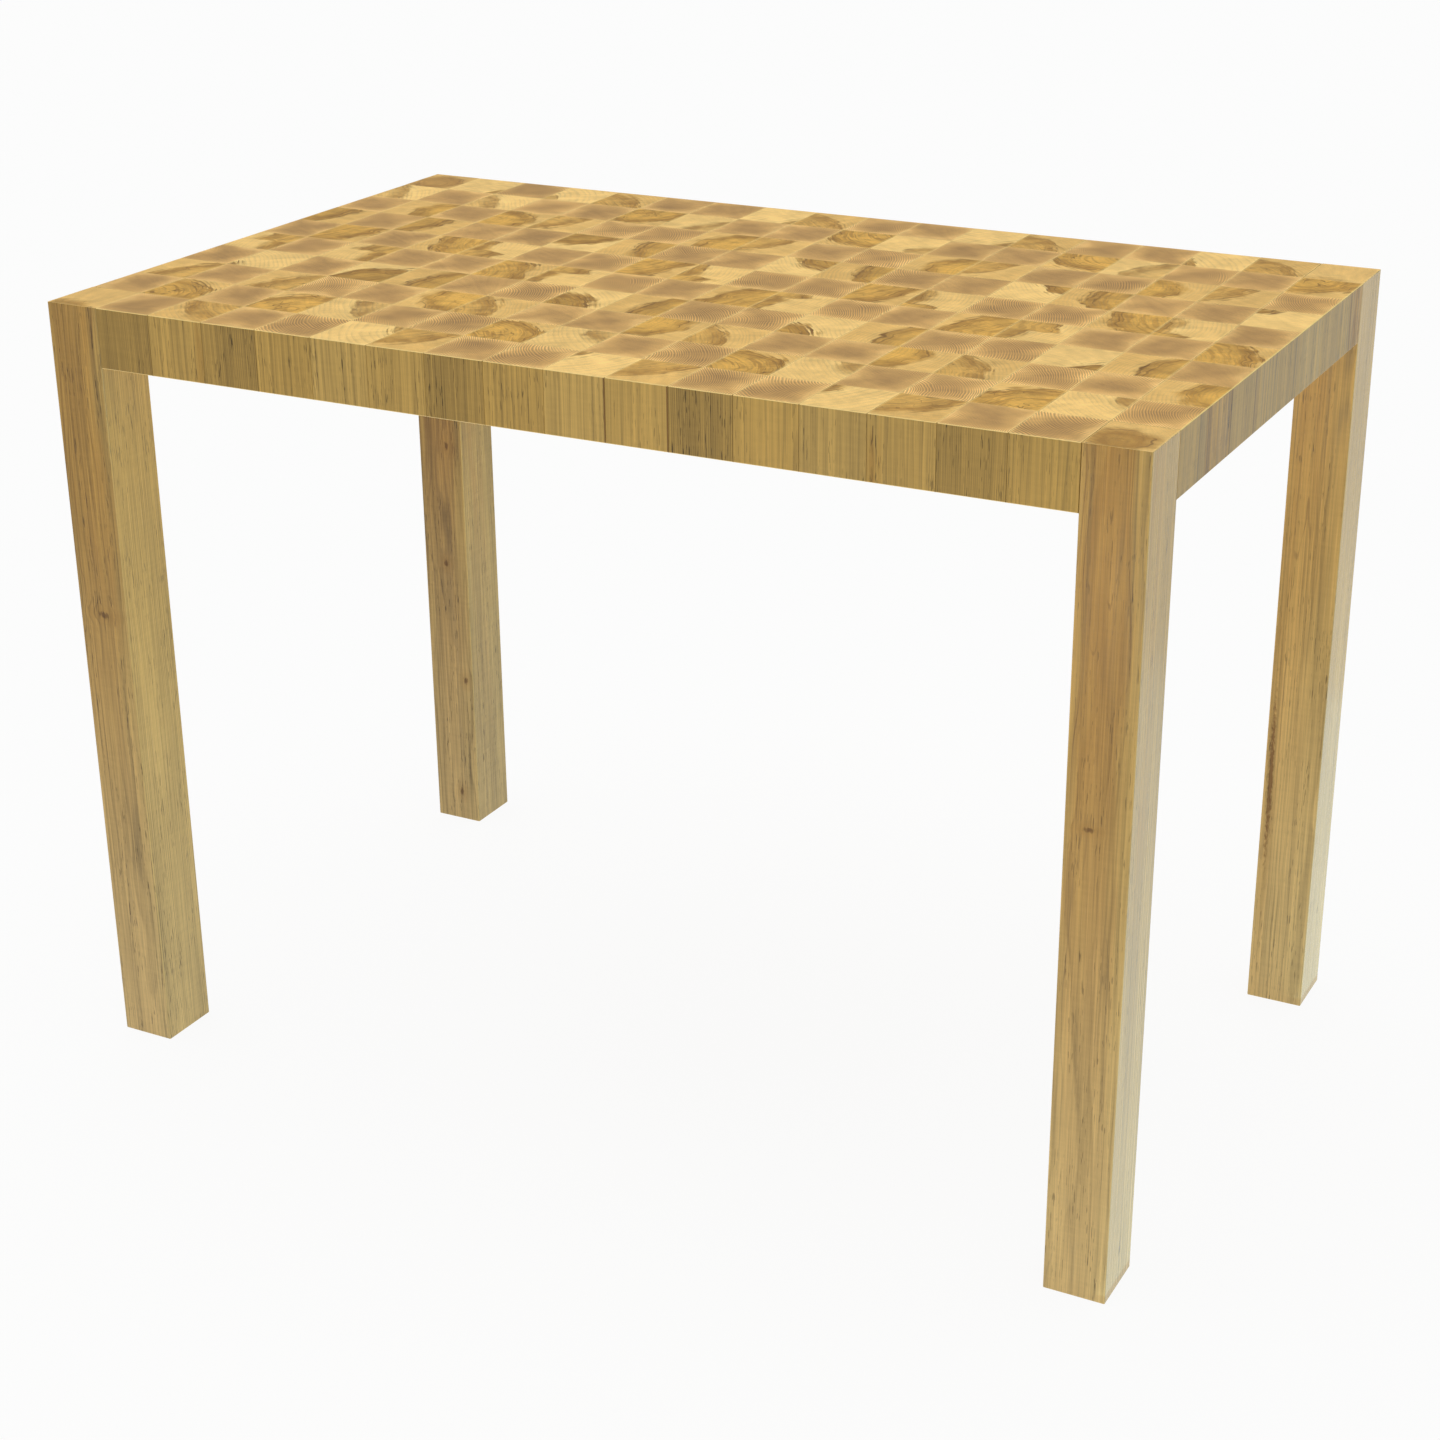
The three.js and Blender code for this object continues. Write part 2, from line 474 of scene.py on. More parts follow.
# From here to the end of the wood, lengths are in millimetres. Two numbers for a reach are where something
# starts to rise or fall and where that is done, and four are a rise and then a fall.
GRAIN_WANDER = 9.0  # how far the grain strays from a straight line
RING_UNEVENNESS = 1.4  # in rings
RING_CHANGE = 0.09  # how fast that comes and goes along a radius, per millimetre

# Where each part of a growth ring starts, is full, begins to fade and ends, as shares of the ring.
EARLY_WOOD = (0.0, 0.12, 0.16, 0.42)
LATE_WOOD = (0.3, 0.8, 0.84, 0.96)
RING_LINE = (0.68, 0.86, 0.88, 0.98)

# Rays fan out from the pith: how many to a radian, and how long one is across and along the board.
RAYS = 20.0
RAY_ACROSS = 45.0
RAY_ALONG = 60.0

# The edge of the heartwood: how far it sways in a broad wave and in flames along the rings, how rough it is
# and how much rougher where ragged is 1, how soft it is at most and at least, and how soft its step is.
EDGE_SWAY = 18.0
FLAME_DEPTH = 36.0
FLAME_WIDTH = 3.4
FLAME_LENGTH = 34.0
FLAME_SLANT = 5.0  # millimetres along the board for each one that a flame moves to the front
FLAME_LINES = (-0.15, -0.06)  # how low the noise of the flames is where a line follows them
EDGE_ROUGH = 0.7
EDGE_RAGGED = 3.5
SOFTEST_EDGE = 12.0
SHARPEST_EDGE = 0.8
STEP_EDGE = (-4.0, 3.0)

STREAK_ALONG = 160.0  # how far along the board the heartwood's streaks stay much the same
GOLD_CHANGE = 1.6  # how much its yellow comes and goes

# How far outside the heartwood's edge its marks reach, so below 0 is inside it.
BAND_REACH = (-26.0, -9.0)
FINE_LINES_REACH = (-26.0, -6.0, 0.0, 5.0)
FLAME_LINES_REACH = (-20.0, 16.0)
CRACK_REACH = (-8.0, 14.0)
CRACK_LINE = (0.004, 0.016)  # how near its middle a noise is where it draws a crack
HALO_REACH = (0.0, 18.0)
OUTLINE_INSET = 0.9  # how far inside the edge the middle of the dark outline runs
OUTLINE_REACH = (0.4, 2.2)  # to each side of that

# Knots: where they end towards the back, how far they sway from side to side, and how much the grain parts
# round them.
KNOT_DEPTH = (-33.0, 9.0)
KNOT_SWAY = 11.0
KNOT_TURN = 2.2  # radians of that sway from one knot to the next
KNOT_PARTING = 0.6
# In a knot's own sizes, how far its dark core, the brown cloud round it and the parted grain reach.
KNOT_REACH = (0.4, 1.2)
KNOT_RAGGED = 1.6  # how rough the core's edge is
KNOT_CLOUD_REACH = (0.6, 4.0)
KNOT_PARTING_REACH = (0.4, 4.5)

# Places on a block, which run from 0 at its middle to 1 at its edge, or for FOOT_REACH from -1 at its foot.
GREY_MIDDLE_REACH = (0.2, 1.1)
GREY_EDGE_REACH = (0.8, 1.1)
EDGE_WAVER = 1.1  # how far those two stray
SIDE_SEAM_REACH = (0.93, 0.985)
END_SEAM_REACH = (0.94, 1.0)
DARK_GLUE_REACH = (0.94, 0.96)
EASED_SIDE_REACH = (0.975, 0.99)
# where the painted floor light fades out up a leg
FOOT_REACH = (-1.0, 0.7)

# How squarely a surface faces up to be end grain, and faces one way to be flat, from 0 to 1.
END_GRAIN_FACING = (0.4, 0.8)
FLAT_FACING = (0.84, 0.99)

# How much of what is under it a colour covers, from 0 to 1.
SIDE_COVER = 0.85
HALO_COVER = 0.25
GREY_EDGE_COVER = 0.7
SEAM_COVER = 0.35
END_SEAM_SHARE = 0.5  # of that, where two rows meet
DARK_GLUE_COVER = 0.85
KNOT_COVER = 0.85
KNOT_CLOUD_COVER = 0.3

# How light the wood is before streaks, rings and flecks, and how much its broad clouds change that.
PLAIN_LIGHT = 1.06
CLOUD_LIGHT = 0.5

NOISE_SHIFT = (1.0, 1.7, 0.6)  # the direction in which noises are moved apart

# How much fibres and late wood change the roughness, and how high they and the flecks stand. Only the bump's
# own height is in metres.
FIBRE_ROUGHNESS = 0.22
LATE_WOOD_ROUGHNESS = -0.05
FIBRE_HEIGHT = 0.65
LATE_WOOD_HEIGHT = 0.35
FLECK_HEIGHT = -0.5
BUMP_STRENGTH = 0.35
BUMP_DISTANCE = 0.15 * MM


class Wood(Graph):
    """Solid wood that reads its board from the mesh: growth rings, fibres, pores, knots and heartwood."""

    def __init__(self, name):
        super().__init__(name)
        self.read_mesh()
        self.bend_grain()
        self.grow_rings()
        self.outline_heartwood()

    def lengths(self, name):
        """The three parts of a stored vector of lengths."""
        return self.parts(self.vector("SCALE", self.attribute(name), 1 / MM))

    def read_mesh(self):
        """Takes in what write_wood stored, and which way the surface faces."""
        self.in_board = self.vector("SCALE", self.attribute("in_board"), 1 / MM)
        self.block_x, self.block_y, self.block_z = self.parts(self.attribute("in_block"))
        self.seed = self.attribute("seed")
        self.pith_x, self.pith_y, self.ring_width = self.lengths("pith")
        self.disc_x, self.disc_y, self.disc_radius = self.lengths("heart_disc")
        self.knot_x, self.knot_along, self.knot_spacing = self.lengths("knot_place")
        self.knot_width, self.knot_length, _ = self.lengths("knot_size")
        self.step_depth, self.step_place, _ = self.lengths("heart_step")
        self.outline, self.band, self.ragged = self.parts(self.attribute("heart_look"))
        self.pale, self.fill, self.gold = self.parts(self.attribute("heart_shade"))
        self.grey, self.tone, self.side_tone = self.parts(self.attribute("tint"))
        self.outer_left, self.outer_right, self.dark_glue = self.parts(self.attribute("outer"))
        normal = self.parts(self.add("ShaderNodeNewGeometry").outputs["Normal"])
        self.normal_x, self.normal_y, self.normal_z = [self.math("ABSOLUTE", part) for part in normal]
        self.end_grain = self.ramp(self.normal_z, *END_GRAIN_FACING)
        self.side_grain = self.math("SUBTRACT", 1.0, self.end_grain)
        self.grey_here = self.math("MULTIPLY", self.grey, self.end_grain)
        self.edge_x = self.math("ABSOLUTE", self.block_x)

    def grain(self, width, length, shift, detail=2.0, output="Fac"):
        """Noise in lumps of that width across the grain and that length along it. shift sets it apart."""
        stretched = self.vector("MULTIPLY", self.in_board, (1 / width, 1 / width, 1 / length))
        aside = self.vector("ADD", self.seed, tuple(shift * part for part in NOISE_SHIFT))
        return self.noise(self.vector("ADD", stretched, aside), detail, output)

    def drift(self, width, length, shift, detail=2.0):
        """The same noise as a vector whose parts lie round 0."""
        return self.vector("SUBTRACT", self.grain(width, length, shift, detail, "Color"), (0.5, 0.5, 0.5))

    def patches(self, width, length, shift, start, full, least=0.0, detail=2.0):
        """Patches of that size: a rise from least to 1 as the noise goes from start to full."""
        return self.ramp(self.grain(width, length, shift, detail), start, full, least)

    def bend_grain(self):
        """Lets the grain stray along the board, so rings and streaks bend, and part round a knot."""
        stray = self.vector("SCALE", self.drift(42, 260, 3.1), GRAIN_WANDER)
        bent_x, self.bent_y, self.along = self.parts(self.vector("ADD", self.in_board, stray))
        past_first = self.math("SUBTRACT", self.along, self.knot_along)
        number = self.math("ROUND", self.math("DIVIDE", past_first, self.knot_spacing))
        sway = self.math("SINE", self.math("MULTIPLY", number, KNOT_TURN))
        middle = self.math("MULTIPLY_ADD", sway, KNOT_SWAY, self.knot_x)
        aside = self.math("SUBTRACT", bent_x, middle)
        past = self.math("SUBTRACT", past_first, self.math("MULTIPLY", number, self.knot_spacing))
        in_knot_x = self.math("DIVIDE", aside, self.knot_width)
        in_knot_z = self.math("DIVIDE", past, self.knot_length)
        self.knot_distance = self.vector("LENGTH", self.join(in_knot_x, in_knot_z, 0.0))
        self.at_front = self.fade(self.bent_y, *KNOT_DEPTH)
        parting = self.product(self.fade(self.knot_distance, *KNOT_PARTING_REACH), self.at_front)
        self.bent_x = self.math("SUBTRACT", bent_x, self.product(aside, parting, KNOT_PARTING))

    def grow_rings(self):
        """Growth rings round the pith, and the rays that fan out from it."""
        from_pith_x = self.math("SUBTRACT", self.bent_x, self.pith_x)
        from_pith_y = self.math("SUBTRACT", self.bent_y, self.pith_y)
        from_pith = self.join(from_pith_x, from_pith_y, 0.0)
        self.ring_radius = self.vector("LENGTH", from_pith)
        slowly = self.vector("SCALE", self.join(self.ring_radius, 0.0, 0.0), RING_CHANGE)
        uneven = self.noise(self.vector("ADD", slowly, self.seed), 1.0)
        uneven = self.math("MULTIPLY", uneven, RING_UNEVENNESS)
        rings = self.math("DIVIDE", self.ring_radius, self.ring_width)
        ring = self.math("FRACT", self.math("ADD", rings, uneven))
        self.late_wood = self.pulse(ring, *LATE_WOOD)
        self.ring_line = self.pulse(ring, *RING_LINE)
        self.early_wood = self.pulse(ring, *EARLY_WOOD)
        self.ring_show = self.patches(26, 300, 9.7, 0.38, 0.58, least=0.4)
        self.cloud = self.grain(24, 300, 1.2)
        angle = self.math("ARCTAN2", from_pith_x, from_pith_y)
        fan = self.join(
            self.math("MULTIPLY", angle, RAYS),
            self.math("DIVIDE", self.ring_radius, RAY_ACROSS),
            self.math("DIVIDE", self.along, RAY_ALONG),
        )
        self.ray = self.noise(self.vector("ADD", fan, self.seed), 2.0)

    def outline_heartwood(self):
        """How far outside the heartwood a point is: contour by a smooth edge, outside by the real one."""
        coarse_x, coarse_y, _ = self.parts(self.drift(21, 150, 8.3, detail=1.0))
        fine_x, fine_y, _ = self.parts(self.drift(6, 60, 5.9))
        heart_x = self.math("MULTIPLY_ADD", coarse_x, EDGE_SWAY, self.bent_x)
        heart_y = self.math("MULTIPLY_ADD", coarse_y, EDGE_SWAY, self.bent_y)
        from_centre_x = self.math("SUBTRACT", heart_x, self.disc_x)
        from_centre_y = self.math("SUBTRACT", heart_y, self.disc_y)
        from_centre = self.vector("LENGTH", self.join(from_centre_x, from_centre_y, 0.0))
        before_step = self.fade(self.math("SUBTRACT", heart_y, self.step_place), *STEP_EDGE)
        set_back = self.math("MULTIPLY", before_step, self.step_depth)
        self.contour = self.math("ADD", self.math("SUBTRACT", from_centre, self.disc_radius), set_back)

        slanted_y = self.math("ADD", self.bent_y, self.math("DIVIDE", self.along, FLAME_SLANT))
        along_ring = self.join(
            self.math("DIVIDE", self.ring_radius, FLAME_WIDTH),
            self.math("DIVIDE", self.bent_x, FLAME_LENGTH),
            self.math("DIVIDE", slanted_y, FLAME_LENGTH),
        )
        self.flame = self.centred(self.noise(self.vector("ADD", along_ring, self.seed), 1.0))
        flames = self.math("MULTIPLY_ADD", self.product(self.flame, self.ragged), FLAME_DEPTH, self.contour)
        how_rough = self.math("MULTIPLY_ADD", self.ragged, EDGE_RAGGED, EDGE_ROUGH)
        rough = self.math("MULTIPLY", self.math("ADD", fine_x, fine_y), how_rough)
        self.outside = self.math("ADD", flames, rough)

        self.sharp = self.math("MULTIPLY", self.outline, self.patches(26, 200, 21.3, 0.4, 0.58))
        softness = self.math("MULTIPLY_ADD", self.sharp, SHARPEST_EDGE - SOFTEST_EDGE, SOFTEST_EDGE)
        self.inside = self.fade(self.outside, self.math("MULTIPLY", softness, -1.0), softness)

    def streaks(self, width, run, shift):
        """Noise that follows the edge of the heartwood, in streaks of that width and length."""
        across = self.math("DIVIDE", self.contour, width)
        run_x = self.math("DIVIDE", self.bent_x, run)
        run_y = self.math("DIVIDE", self.bent_y, run)
        change = self.join(self.math("DIVIDE", self.along, STREAK_ALONG), shift, 0.0)
        drifted = self.vector("ADD", self.join(across, run_x, run_y), change)
        return self.noise(self.vector("ADD", drifted, self.seed), 2.0)

    def crack(self):
        """Short dark cracks in ragged heartwood: a thin line where a broad noise crosses its middle."""
        from_middle = self.math("ABSOLUTE", self.centred(self.grain(17, 140, 15.2, 1.0)))
        here = self.product(self.patches(26, 160, 17.9, 0.5, 0.6), self.fade(self.contour, *CRACK_REACH))
        return self.product(self.fade(from_middle, *CRACK_LINE), here, self.ragged)

    def heart_marks(self):
        """The heartwood's marks, from broad to fine: where each is, how strong and in what colour."""
        inside, outside, fill = self.inside, self.outside, self.fill
        stripes = self.product(inside, self.ramp(self.streaks(7.5, 80.0, 7.1), 0.48, 0.64), fill)
        patchy = self.patches(15, 200, 23.1, 0.3, 0.6, least=0.35)
        band = self.product(inside, self.ramp(outside, *BAND_REACH), patchy, self.band)
        mottle = self.product(self.patches(3.5, 60, 25.7, 0.5, 0.66, detail=3.0), inside, fill)
        flames = self.fade(self.flame, *FLAME_LINES)
        flame_lines = self.product(flames, self.fade(self.contour, *FLAME_LINES_REACH), self.ragged)
        fine_streaks = self.ramp(self.streaks(2.8, 70.0, 3.3), 0.54, 0.66)
        fine_lines = self.product(fine_streaks, self.pulse(outside, *FINE_LINES_REACH), fill)
        from_line = self.math("ABSOLUTE", self.math("ADD", outside, OUTLINE_INSET))
        broken = self.patches(9, 90, 12.4, 0.38, 0.6)
        line = self.product(self.fade(from_line, *OUTLINE_REACH), self.sharp, broken)
        return (
            (stripes, 0.5, BAND_BROWN),
            (band, 0.7, BAND_BROWN),
            (mottle, 0.15, BAND_BROWN),
            (self.product(flame_lines, fill), 0.75, BAND_BROWN),
            (fine_lines, 0.65, DARK_LINE),
            (line, 0.8, DARK_LINE),
            (self.crack(), 0.8, DARK_LINE),
        )

    def paint_board(self):
        """The board's own colours: sapwood, heartwood and the marks in it."""
        sapwood = self.blend(self.pale, TAN_SAP, PALE_SAP)
        near = self.fade(self.outside, *HALO_REACH, HALO_COVER)
        halo = self.product(near, self.math("SUBTRACT", 1.0, self.inside), self.pale)
        sapwood = self.blend(halo, sapwood, SEAM_PALE_AND_HIGHLIGHT)
        sapwood = self.blend(self.math("MULTIPLY", self.side_grain, SIDE_COVER), sapwood, SIDE_SAP)
        sapwood = self.blend(self.grey_here, sapwood, GREY_SAP)
        golden = self.math("MULTIPLY_ADD", self.centred(self.cloud), GOLD_CHANGE, self.gold, clamp=True)
        heartwood = self.blend(golden, BROWN_HEART, GOLDEN_HEART)
        heartwood = self.blend(self.fade(self.gold, -1.0, 0.0), heartwood, RED_HEART)
        colour = self.blend(self.math("MULTIPLY", self.inside, self.fill), sapwood, heartwood)
        for mask, strength, paint in self.heart_marks():
            colour = self.blend(self.product(mask, strength), colour, paint)
        return colour

    def paint_block_edges(self, colour):
        """Oil leaves the middle of each grey block dull, and the edges of every block pale."""
        edge_y = self.math("ABSOLUTE", self.block_y)
        edge = self.math("MAXIMUM", self.edge_x, edge_y)
        waver = self.centred(self.grain(42, 300, 31.1, detail=0.0))
        soft_edge = self.math("MULTIPLY_ADD", waver, EDGE_WAVER, edge)
        middle = self.product(self.fade(soft_edge, *GREY_MIDDLE_REACH), self.grey_here)
        colour = self.blend(middle, colour, GREY_MIDDLE)
        rim = self.product(self.ramp(soft_edge, *GREY_EDGE_REACH), self.grey_here, GREY_EDGE_COVER)
        colour = self.blend(rim, colour, GREY_EDGE)
        side_seam = self.ramp(self.edge_x, *SIDE_SEAM_REACH)
        end_seam = self.ramp(edge_y, *END_SEAM_REACH, 0.0, END_SEAM_SHARE)
        seam = self.product(self.math("MAXIMUM", side_seam, end_seam), self.end_grain, SEAM_COVER)
        return self.blend(seam, colour, SEAM_PALE_AND_HIGHLIGHT)

    def paint_dark_glue(self, colour):
        """A dark glue line, along the right edge of a block's front or the back edge of its right side."""
        turn = self.math("SUBTRACT", self.block_y, self.block_x)
        toward_line = self.math("MULTIPLY_ADD", self.normal_x, turn, self.block_x)
        at_line = self.ramp(toward_line, *DARK_GLUE_REACH)
        line = self.product(at_line, self.side_grain, self.dark_glue, DARK_GLUE_COVER)
        return self.blend(line, colour, DARK_LINE)

    def paint_floor_light(self, colour, floor_light_strength):
        """Painted light: the wood is painted paler towards the floor, where light from the floor falls on
        it.
        """
        return self.blend(self.fade(self.block_z, *FOOT_REACH, floor_light_strength), colour, FLOOR_LIT_SAP)

    def paint_knots(self, colour):
        """Dark knots on the front, each in a brown cloud."""
        rough = self.centred(self.grain(2, 6, 27.3))
        rough_distance = self.math("MULTIPLY_ADD", rough, KNOT_RAGGED, self.knot_distance)
        knot = self.product(self.fade(rough_distance, *KNOT_REACH), self.at_front, self.side_grain)
        near = self.fade(self.knot_distance, *KNOT_CLOUD_REACH)
        cloud = self.product(near, self.at_front, self.side_grain)
        colour = self.blend(self.product(cloud, KNOT_CLOUD_COVER), colour, BAND_BROWN)
        return self.blend(self.product(knot, KNOT_COVER), colour, DARK_LINE)

    def shade(self, colour, fibre, fleck):
        """Light and dark: how much each part lightens the wood, or darkens it where it is below 0."""
        streak = self.grain(4, 420, 2.2)
        thread = self.grain(1.7, 150, 33.4)
        curl = self.grain(30, 4, 29.9, detail=3.0)
        level = self.math("MULTIPLY_ADD", self.centred(self.cloud), CLOUD_LIGHT, PLAIN_LIGHT)
        for part, strength in (
            (self.product(self.centred(streak), self.side_grain), 0.6),
            (self.product(self.centred(thread), self.side_grain), 0.7),
            (self.product(self.centred(self.ray), self.end_grain), 0.3),
            (self.centred(fibre), 0.55),
            (self.product(self.centred(curl), self.side_grain), 0.16),
            (self.tone, 0.05),
            (self.product(self.side_tone, self.side_grain), 0.29),
            (self.product(self.late_wood, self.ring_show, self.grey_here), -0.24),
            (self.product(self.early_wood, self.ring_show, self.grey_here), 0.36),
            (self.product(self.late_wood, self.ring_show), -0.14),
            (self.product(self.ring_line, self.ring_show, self.side_grain), -0.16),
            (self.product(fleck, self.side_grain), -0.5),
        ):
            level = self.math("MULTIPLY_ADD", part, strength, level)
        return self.blend(1.0, colour, self.join(level, level, level), "MULTIPLY")

    def paint_edge_highlight(self, colour, edge_highlight):
        """Painted highlight: the outer eased edges, where the surface turns from flat, are painted paler as
        if catching the light, while those at a seam stay dark.
        """
        flat = self.math("MAXIMUM", self.math("MAXIMUM", self.normal_x, self.normal_y), self.normal_z)
        is_right = self.math("GREATER_THAN", self.block_x, 0.0)
        difference = self.math("SUBTRACT", self.outer_right, self.outer_left)
        outer = self.math("MULTIPLY_ADD", is_right, difference, self.outer_left)
        off_seam = self.fade(self.edge_x, *EASED_SIDE_REACH)
        outside_edge = self.math("MAXIMUM", outer, off_seam)
        # painted highlight on the oblique faces of the outside edges
        highlight_mask = self.product(self.fade(flat, *FLAT_FACING, edge_highlight), outside_edge)
        return self.blend(highlight_mask, colour, SEAM_PALE_AND_HIGHLIGHT)


def wood_material(name, end_roughness, side_roughness, gloss, edge_highlight, painted_floor_light):
    """Oiled wood, with a painted highlight on its outer edges and painted light from the floor on its lower
    end: the last two arguments set how strong each is.
    """
    wood = Wood(name)
    fibre = wood.grain(0.9, 70, 4.4, detail=3.0)
    pores = wood.patches(1.3, 18, 6.6, 0.63, 0.68, detail=1.0)
    fleck = wood.product(pores, wood.patches(16, 110, 19.5, 0.42, 0.58))

    colour = wood.paint_board()
    colour = wood.paint_block_edges(colour)
    colour = wood.paint_dark_glue(colour)
    # painted light from the floor, paler towards the foot
    if painted_floor_light:
        colour = wood.paint_floor_light(colour, painted_floor_light)
    colour = wood.paint_knots(colour)
    colour = wood.shade(colour, fibre, fleck)
    colour = wood.paint_edge_highlight(colour, edge_highlight)

    roughness = wood.math("MULTIPLY_ADD", wood.centred(fibre), FIBRE_ROUGHNESS, side_roughness)
    roughness = wood.math("MULTIPLY_ADD", wood.end_grain, end_roughness - side_roughness, roughness)
    roughness = wood.math("MULTIPLY_ADD", wood.late_wood, LATE_WOOD_ROUGHNESS, roughness)
    height = wood.math("MULTIPLY", fibre, FIBRE_HEIGHT)
    height = wood.math("MULTIPLY_ADD", wood.late_wood, LATE_WOOD_HEIGHT, height)
    height = wood.math("MULTIPLY_ADD", fleck, FLECK_HEIGHT, height)
    bump = wood.add("ShaderNodeBump")
    bump.inputs["Strength"].default_value = BUMP_STRENGTH
    bump.inputs["Distance"].default_value = BUMP_DISTANCE
    wood.put(bump.inputs["Height"], height)
    wood.surface(colour, roughness, gloss, bump.outputs["Normal"])
    return wood.material


# ---------------------------------------------------------------- other materials

DOWEL_DARK = rgb(196, 160, 108)
DOWEL_PALE = rgb(222, 190, 140)
DOWEL_FIBRES = (1500.0, 1500.0, 300.0)  # to a metre, along X, Y and Z
DOWEL_ROUGHNESS = (0.5, 0.65)
FLOOR_GREY = 0.05  # how much of the light on it the floor gives back
FLOOR_GLOW = 0.925
BACKDROP_GLOW = 0.973  # so that no line shows where it meets the floor


def dowel_material():
    """Plain turned hardwood for the pins inside the joints."""
    g = Graph("dowel_wood")
    place = g.add("ShaderNodeTexCoord").outputs["Object"]
    fibres = g.noise(g.vector("MULTIPLY", place, DOWEL_FIBRES), 3.0)
    g.surface(g.blend(fibres, DOWEL_DARK, DOWEL_PALE), g.ramp(fibres, 0.3, 0.7, *DOWEL_ROUGHNESS))
    return g.material


def floor_material():
    """A white studio floor, lit mostly from within so that shadows on it stay faint."""
    g = Graph("studio_floor")
    shader = g.surface((FLOOR_GREY, FLOOR_GREY, FLOOR_GREY, 1), 1.0, gloss=0.0)
    shader.inputs["Emission Color"].default_value = (1, 1, 1, 1)
    shader.inputs["Emission Strength"].default_value = FLOOR_GLOW
    return g.material


def backdrop_material():
    g = Graph("studio_wall")
    light = g.add("ShaderNodeEmission")
    light.inputs["Strength"].default_value = BACKDROP_GLOW
    g.output(light)
    return g.material


# ---------------------------------------------------------------- the table


def row_spans(low, high, leg_depth, width):
    """The front and back of each block in the strip that lies from low to high, with its row's number."""
    inner = (width - 2 * leg_depth) / (BOARD_COUNT - 2)
    lines = [-width / 2, *(-width / 2 + leg_depth + inner * i for i in range(BOARD_COUNT - 1)), width / 2]
    spans = []
    for i in range(BOARD_COUNT):
        near, far = max(lines[i], low), min(lines[i + 1], high)
        if far - near > leg_depth / 2:  # an end strip has no block where a leg stands
            spans.append((BOARD_COUNT - i, (near, far)))
    return spans


def finish_piece(piece, node, material):
    piece.data.materials.append(material)
    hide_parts(node)
    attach(piece, "root")


def make_top(material):
    table_low, table_high = cad_bounds
    leg_low, leg_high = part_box("leg_front_left")
    leg_depth = leg_high.y - leg_low.y
    for number in range(1, STRIP_COUNT + 1):
        node = f"top_strip_{number:02d}"
        low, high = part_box(node)
        rows = row_spans(low.y, high.y, leg_depth, table_high[1] - table_low[1])
        left_edge = OUTER_EDGE if number == 1 else SEAM_EDGE
        right_edge = OUTER_EDGE if number == STRIP_COUNT else SEAM_EDGE
        ends = SEAM_EDGE if number in (1, STRIP_COUNT) else OUTER_EDGE
        seams = [span[1] for _, span in rows[:-1]]
        radii = (right_edge, left_edge, left_edge, right_edge)
        strip = make_bar(f"strip_{number:02d}", low, high, 1, radii, (ends, ends), seams)
        write_wood(strip, strip_blocks(number, low, high, rows))
        finish_piece(strip, node, material)


def make_legs(material):
    radii = (OUTER_EDGE,) * 4
    for node, leg in LEGS.items():
        low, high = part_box(node)
        post = make_bar(node.replace("leg_", "post_"), low, high, 2, radii, (OUTER_EDGE, LEG_TOP_EDGE))
        block = Block(
            low, high, turn_x=1, turn_y=1, board=leg.board, name=node, outer=(True, True),
            knot_place=leg.knot_place, knot_size=leg.knot_size)
        write_wood(post, [block])
        finish_piece(post, node, material)


def dress_dowels(material):
    for name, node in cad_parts.items():
        if name.startswith("dowel_"):
            node.data.materials.clear()
            node.data.materials.append(material)


# ---------------------------------------------------------------- studio

CAMERA_PLACE = (1.2945, -2.4603, 1.5442)
CAMERA_TURN = (67.074, 0.507, 27.709)  # degrees about X, Y and Z
CAMERA_LENS = 66.01  # millimetres
FLOOR_REACH = 40.0
BACKDROP_REACH = 38.0
BACKDROP_HEIGHT = 60.0
BACKDROP_SIDES = 48
SKY_BRIGHTNESS = 0.28
SKY_FROM_RIGHT = (0.66, 1.0, 0.55)
OVERHEAD_POWER = 2.2
OVERHEAD_TURN = (-4, -4, 0)  # degrees: its light comes from a little behind and to the left
OVERHEAD_SPREAD = 70  # degrees across, for soft shadows

# Soft panels that stand low beside and under the table: place, where they face, width, height, watts,
# colour and how wide they spread, in degrees.
Panel = namedtuple("Panel", "name place target width height power colour spread", defaults=(180,))
PANELS = (
    Panel("window", (2.3, 0.9, 0.4), (0.3, -0.1, 0.25), 1.8, 0.8, 2.3, (0.62, 0.95, 1.0)),
    Panel("bounce", (0.0, -1.9, 0.15), (0.0, 0.0, 0.2), 2.0, 0.3, 3.0, (1.0, 1.0, 0.92)),
    Panel("floor_glow", (1.05, 0.42, 0.01), (1.05, 0.42, 1.0), 0.9, 1.65, 1.3, (0.48, 0.85, 1.0)),
    Panel("under_fill", (0.45, 0.0, 0.62), (-1.0, 0.0, 0.62), 0.6, 0.3, 1.1, (0.6, 0.9, 1.0), 100),
)


def make_camera():
    camera = add_to_scene("camera", bpy.data.cameras.new("camera"))
    camera.location = CAMERA_PLACE
    camera.rotation_euler = [math.radians(angle) for angle in CAMERA_TURN]
    camera.data.lens = CAMERA_LENS
    bpy.context.scene.camera = camera


def make_floor():
    mesh = bpy.data.meshes.new("floor")
    corners = [(x * FLOOR_REACH, y * FLOOR_REACH, 0) for x, y in ((-1, -1), (1, -1), (1, 1), (-1, 1))]
    mesh.from_pydata(corners, [], [(0, 1, 2, 3)])
    mesh.materials.append(floor_material())
    add_to_scene("floor", mesh)


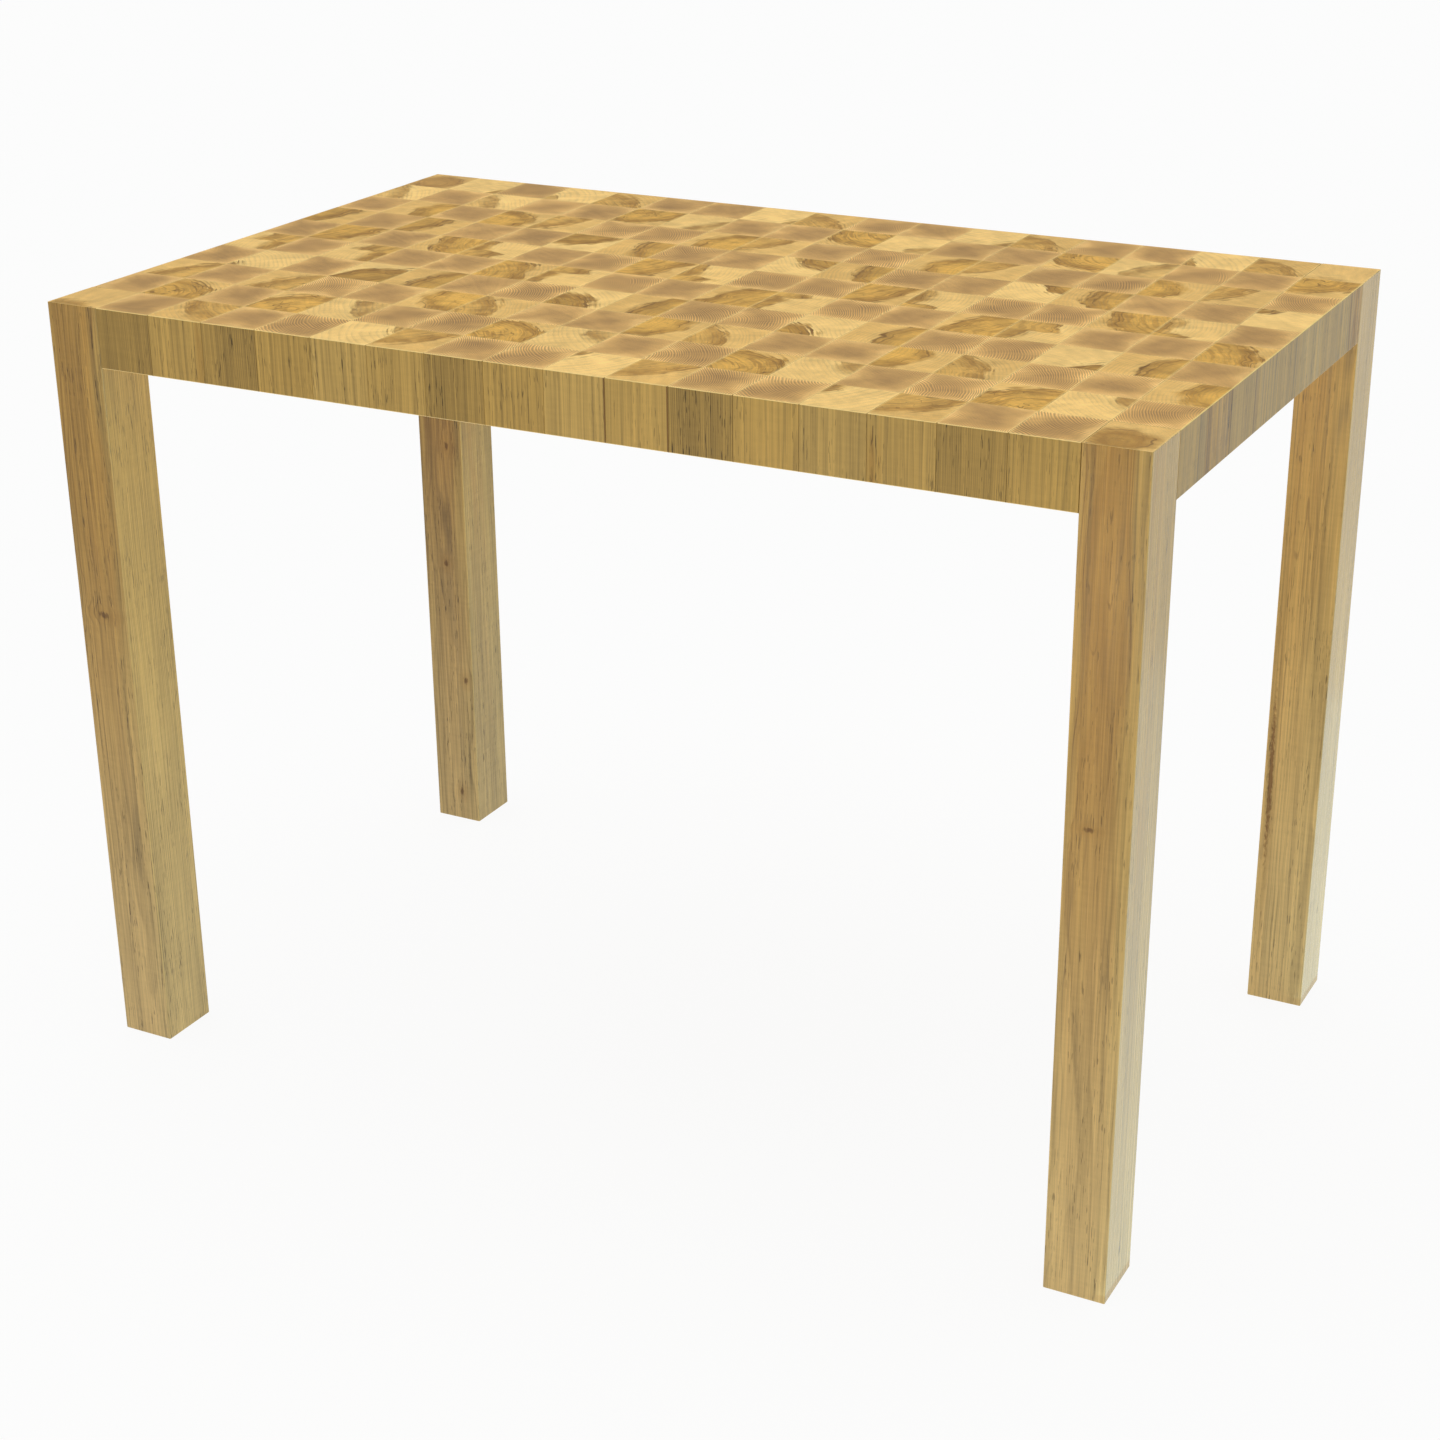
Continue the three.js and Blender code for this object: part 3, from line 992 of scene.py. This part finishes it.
def make_backdrop():
    """A plain white wall all round that only the camera sees, so it doesn't change the light."""
    points = []
    for step in range(BACKDROP_SIDES):
        angle = 2 * math.pi * step / BACKDROP_SIDES
        x, y = BACKDROP_REACH * math.cos(angle), BACKDROP_REACH * math.sin(angle)
        points += [(x, y, 0), (x, y, BACKDROP_HEIGHT)]
    count = len(points)
    faces = [(i, (i + 2) % count, (i + 3) % count, i + 1) for i in range(0, count, 2)]
    mesh = bpy.data.meshes.new("backdrop")
    mesh.from_pydata(points, [], faces)
    mesh.materials.append(backdrop_material())
    wall = add_to_scene("backdrop", mesh)
    wall.visible_diffuse = wall.visible_glossy = wall.visible_transmission = wall.visible_shadow = False


def make_sky():
    """An even pale light from all round, with a tint that grows towards the right."""
    world = bpy.data.worlds.new("studio")
    world.use_nodes = True
    nodes, links = world.node_tree.nodes, world.node_tree.links
    place = nodes.new("ShaderNodeTexCoord").outputs["Generated"]
    parts = nodes.new("ShaderNodeSeparateXYZ")
    tint = nodes.new("ShaderNodeMix")
    tint.data_type = "RGBA"
    white, right = [socket for socket in tint.inputs if socket.type == "RGBA"]
    white.default_value = (1, 1, 1, 1)
    right.default_value = (*SKY_FROM_RIGHT, 1)
    tinted = next(socket for socket in tint.outputs if socket.type == "RGBA")
    background = nodes["Background"]
    background.inputs["Strength"].default_value = SKY_BRIGHTNESS
    links.new(place, parts.inputs[0])
    links.new(parts.outputs[0], tint.inputs[0])
    links.new(tinted, background.inputs["Color"])
    bpy.context.scene.world = world


def make_overhead():
    light = bpy.data.lights.new("overhead", "SUN")
    light.energy = OVERHEAD_POWER
    light.angle = math.radians(OVERHEAD_SPREAD)
    overhead = add_to_scene("overhead", light)
    overhead.rotation_euler = [math.radians(angle) for angle in OVERHEAD_TURN]


def make_panel(panel):
    """A soft rectangular light that the camera doesn't see."""
    light = bpy.data.lights.new(panel.name, "AREA")
    light.shape = "RECTANGLE"
    light.size = panel.width
    light.size_y = panel.height
    light.energy = panel.power
    light.spread = math.radians(panel.spread)
    light.color = panel.colour
    lamp = add_to_scene(panel.name, light)
    lamp.location = panel.place
    facing = Vector(panel.target) - Vector(panel.place)
    lamp.rotation_euler = facing.to_track_quat("-Z", "Y").to_euler()
    lamp.visible_camera = False


def light_studio():
    make_sky()
    make_overhead()
    for panel in PANELS:
        make_panel(panel)
    bpy.context.scene.view_settings.view_transform = "Standard"


make_camera()
# Both woods get a painted highlight on their outer edges.
make_top(wood_material(
    "end_grain_top", end_roughness=0.5, side_roughness=0.38, gloss=0.25, edge_highlight=0.9, painted_floor_light=0))
# The legs also get painted light from the floor, paler towards their feet.
make_legs(wood_material(
    "leg_wood", end_roughness=0.5, side_roughness=0.25, gloss=0.35, edge_highlight=0.25, painted_floor_light=0.65))
dress_dowels(dowel_material())
make_floor()
make_backdrop()
light_studio()
